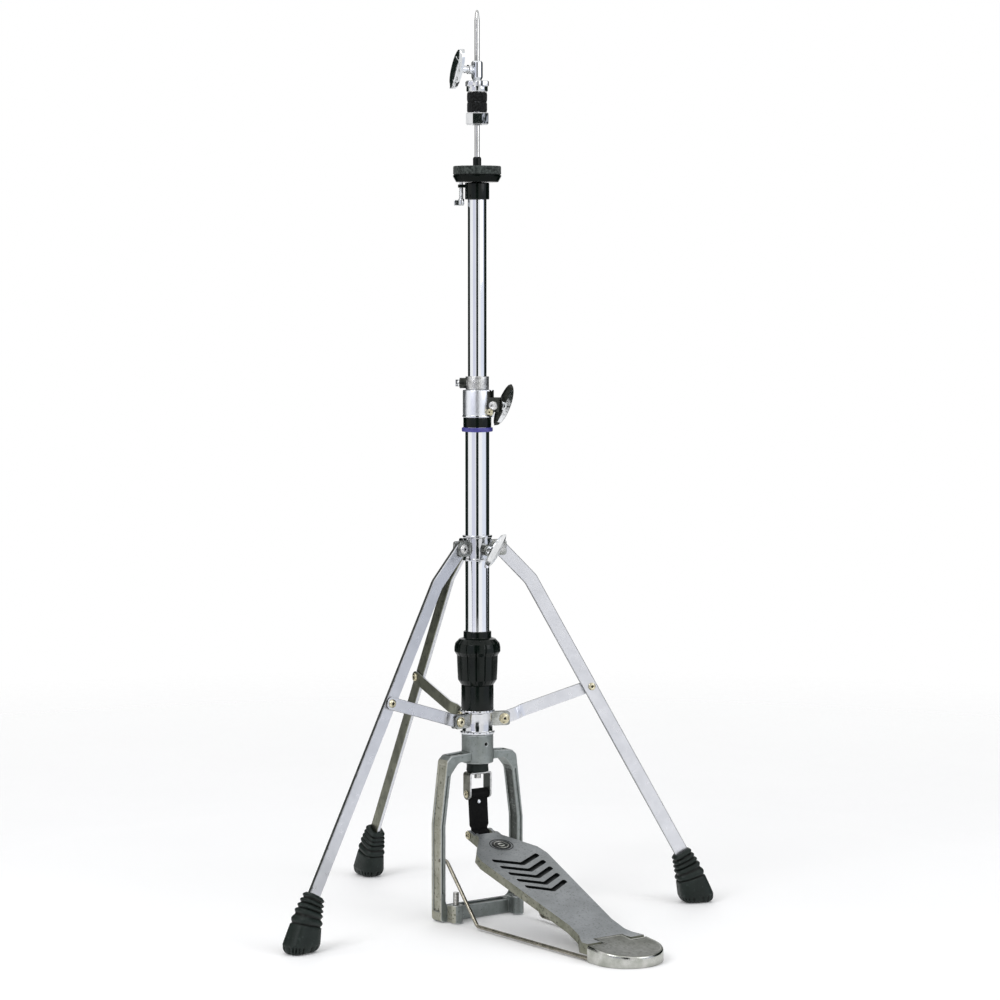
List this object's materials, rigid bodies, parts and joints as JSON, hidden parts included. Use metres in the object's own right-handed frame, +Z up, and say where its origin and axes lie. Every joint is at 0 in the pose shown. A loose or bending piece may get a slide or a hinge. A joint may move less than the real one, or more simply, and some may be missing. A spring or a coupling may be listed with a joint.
{
  "type": "hi-hat stand",
  "caption": "Pedal-worked cymbal stand: a sprung pull rod in a telescopic tube, a footboard linked by a strap, and a folding tripod with rubber feet.",
  "frame": {"origin": "on the floor, on the axis of the tube", "axes": "+Z up along the tube, -Y towards the heel of the footboard, X across the pedal frame"},
  "size_m": [0.5763, 0.6228, 1.068],
  "materials": {
    "chrome": "bright plated",
    "satin_steel": "satin plated",
    "zinc": "zinc plated",
    "cast_aluminium": "tumbled casting",
    "black_plastic": "moulded",
    "blue_nylon": "moulded",
    "black_rubber": "moulded",
    "black_felt": "pressed felt",
    "grey_felt": "pressed felt",
    "webbing": "woven webbing"
  },
  "bodies": {
    "stand_base": {"pedal_frame": "cast_aluminium", "lower_tube": "chrome", "spring_housing": "black_plastic", "radius_rod_left": "satin_steel", "radius_rod_right": "satin_steel", "heel_plate": "cast_aluminium", "heel_hinge_pin": "zinc", "tube_clamp": "chrome", "clamp_bolt": "zinc", "clamp_bush": "black_plastic", "clamp_ring": "blue_nylon", "return_spring": "satin_steel"},
    "spur_left_body": {"spur_screw_left": "zinc"},
    "spur_right_body": {"spur_screw_right": "zinc"},
    "board_body": {"footboard": "cast_aluminium", "toe_pin": "zinc"},
    "rod_body": {"lower_rod": "satin_steel", "pull_rod": "chrome", "rod_bumper": "black_rubber", "strap_shackle": "satin_steel", "shackle_pin": "zinc"},
    "strap_body": {"strap": "webbing"},
    "spring_seat_body": {"spring_seat": "zinc"},
    "knob_body": {"tension_knob": "black_plastic"},
    "post_body": {"upper_tube": "chrome", "seat_hub": "black_plastic", "rod_sleeve": "black_plastic"},
    "memory_lock_body": {"memory_lock": "satin_steel"},
    "lock_bolt_body": {"memory_lock_bolt": "zinc"},
    "cup_body": {"seat_cup": "black_plastic", "seat_felt": "grey_felt"},
    "tilt_screw_body": {"tilt_screw": "chrome"},
    "clamp_nut_body": {"clamp_wing_nut": "chrome"},
    "clutch_slide_body": {"clutch_body": "chrome", "clutch_lock_nut": "chrome", "clutch_felt_upper": "black_felt", "clutch_felt_lower": "black_felt"},
    "clutch_screw_body": {"clutch_wing_screw": "chrome"},
    "clutch_nut_body": {"clutch_bottom_nut": "chrome"},
    "lower_collar_body": {"lower_collar": "chrome", "right_brace_bolt": "zinc", "back_brace_bolt": "zinc", "left_brace_bolt": "zinc"},
    "upper_collar_body": {"upper_collar": "chrome", "right_leg_bolt": "zinc", "back_leg_bolt": "zinc", "left_leg_bolt": "zinc"},
    "collar_bolt_body": {"collar_wing_bolt": "chrome"},
    "right_leg_body": {"right_leg": "satin_steel", "right_foot": "black_rubber", "right_brace_rivet": "zinc"},
    "right_brace_body": {"right_brace": "satin_steel"},
    "back_leg_body": {"back_leg": "satin_steel", "back_foot": "black_rubber", "back_brace_rivet": "zinc"},
    "back_brace_body": {"back_brace": "satin_steel"},
    "left_leg_body": {"left_leg": "satin_steel", "left_foot": "black_rubber", "left_brace_rivet": "zinc"},
    "left_brace_body": {"left_brace": "satin_steel"}
  },
  "joints": [
    {"name": "spur_left_turn", "type": "slide", "parent": "stand_base", "child": "spur_left_body", "axis": [0, 0, 1], "range_m": [0, 0.008]},
    {"name": "spur_right_turn", "type": "slide", "parent": "stand_base", "child": "spur_right_body", "axis": [0, 0, 1], "range_m": [0, 0.008]},
    {"name": "footboard_press", "type": "hinge", "parent": "stand_base", "child": "board_body", "pos_m": [0, -0.258, 0.011], "axis": [-1, 0, 0], "range_deg": [0, 7.5], "stiffness_Nm_per_rad": 77, "springref_deg": -9.17},
    {"name": "rod_slide", "type": "slide", "parent": "stand_base", "child": "rod_body", "axis": [0, 0, -1], "range_m": [0, 0.03413], "deforming": ["return_spring"]},
    {"name": "strap_swing", "type": "hinge", "parent": "rod_body", "child": "strap_body", "pos_m": [0, 0, 0.1475], "axis": [1, 0, 0], "range_deg": [0, 11]},
    {"name": "knob_turn", "type": "hinge", "parent": "spring_seat_body", "child": "knob_body", "pos_m": [0, 0, 0.31], "axis": [0, 0, 1], "range_deg": [0, 2160]},
    {"name": "preload_slide", "type": "slide", "parent": "stand_base", "child": "spring_seat_body", "axis": [0, 0, 1], "range_m": [0, 0.012]},
    {"name": "tube_height", "type": "slide", "parent": "stand_base", "child": "post_body", "axis": [0, 0, 1], "range_m": [-0.11, 0]},
    {"name": "memory_lock_slide", "type": "slide", "parent": "post_body", "child": "memory_lock_body", "axis": [0, 0, 1], "range_m": [0, 0.11]},
    {"name": "lock_bolt_turn", "type": "hinge", "parent": "memory_lock_body", "child": "lock_bolt_body", "pos_m": [-0.01065, 0.00746, 0.634], "axis": [-0.8192, 0.5736, 0], "range_deg": [0, 720]},
    {"name": "seat_tilt", "type": "hinge", "parent": "post_body", "child": "cup_body", "pos_m": [0.00983, -0.00688, 0.8684], "axis": [0.5736, 0.8192, 0], "range_deg": [0, 5]},
    {"name": "tilt_screw_lift", "type": "slide", "parent": "post_body", "child": "tilt_screw_body", "axis": [0, 0, 1], "range_m": [0, 0.0027]},
    {"name": "clamp_nut_turn", "type": "hinge", "parent": "stand_base", "child": "clamp_nut_body", "pos_m": [0.012, -0.02078, 0.608], "axis": [0.866, 0.5, 0], "range_deg": [0, 720]},
    {"name": "clutch_height", "type": "slide", "parent": "rod_body", "child": "clutch_slide_body", "axis": [0, 0, 1], "range_m": [0, 0.045]},
    {"name": "clutch_screw_turn", "type": "hinge", "parent": "clutch_slide_body", "child": "clutch_screw_body", "pos_m": [-0.00329, 0.00029, 0.999], "axis": [-0.9962, 0.0872, 0], "range_deg": [0, 720]},
    {"name": "clutch_nut_turn", "type": "hinge", "parent": "clutch_slide_body", "child": "clutch_nut_body", "pos_m": [0, 0, 0.942], "axis": [0, 0, 1], "range_deg": [0, 720]},
    {"name": "leg_swivel", "type": "hinge", "parent": "stand_base", "child": "lower_collar_body", "pos_m": [0, 0, 0.2335], "axis": [0, 0, 1], "range_deg": [-15, 15]},
    {"name": "collar_slide", "type": "slide", "parent": "lower_collar_body", "child": "upper_collar_body", "axis": [0, 0, 1], "range_m": [0, 0.105]},
    {"name": "collar_bolt_turn", "type": "hinge", "parent": "upper_collar_body", "child": "collar_bolt_body", "pos_m": [-0.00025, -0.0146, 0.4385], "axis": [-0.0175, -0.9998, 0], "range_deg": [0, 720]},
    {"name": "right_leg_fold", "type": "hinge", "parent": "upper_collar_body", "child": "right_leg_body", "pos_m": [0.02595, -0.00909, 0.44], "axis": [0.3305, 0.9438, 0], "range_deg": [0, 21.73]},
    {"name": "right_brace_fold", "type": "hinge", "parent": "lower_collar_body", "child": "right_brace_body", "pos_m": [0.0302, -0.01058, 0.236], "axis": [-0.3305, -0.9438, 0], "range_deg": [0, 53.46]},
    {"name": "back_leg_fold", "type": "hinge", "parent": "upper_collar_body", "child": "back_leg_body", "pos_m": [0.00254, 0.02738, 0.44], "axis": [-0.9957, 0.0924, 0], "range_deg": [0, 21.73]},
    {"name": "back_brace_fold", "type": "hinge", "parent": "lower_collar_body", "child": "back_brace_body", "pos_m": [0.00296, 0.03186, 0.236], "axis": [0.9957, -0.0924, 0], "range_deg": [0, 53.46]},
    {"name": "left_leg_fold", "type": "hinge", "parent": "upper_collar_body", "child": "left_leg_body", "pos_m": [-0.02718, -0.00416, 0.44], "axis": [0.1513, -0.9885, 0], "range_deg": [0, 21.73]},
    {"name": "left_brace_fold", "type": "hinge", "parent": "lower_collar_body", "child": "left_brace_body", "pos_m": [-0.03163, -0.00484, 0.236], "axis": [-0.1513, 0.9885, 0], "range_deg": [0, 53.46]}
  ],
  "couplings": [
    {"joint": "rod_slide", "follows": "footboard_press", "m_per_rad": 0.25999},
    {"joint": "strap_swing", "follows": "footboard_press", "ratio": 1.4644},
    {"joint": "preload_slide", "follows": "knob_turn", "m_per_rad": 0.00031831},
    {"joint": "memory_lock_slide", "follows": "tube_height", "ratio": -1},
    {"joint": "tilt_screw_lift", "follows": "seat_tilt", "m_per_rad": 0.0305},
    {"joint": "right_leg_fold", "follows": "collar_slide", "rad_per_m": 3.611},
    {"joint": "right_brace_fold", "follows": "collar_slide", "rad_per_m": 8.8834},
    {"joint": "back_leg_fold", "follows": "collar_slide", "rad_per_m": 3.611},
    {"joint": "back_brace_fold", "follows": "collar_slide", "rad_per_m": 8.8834},
    {"joint": "left_leg_fold", "follows": "collar_slide", "rad_per_m": 3.611},
    {"joint": "left_brace_fold", "follows": "collar_slide", "rad_per_m": 8.8834}
  ]
}
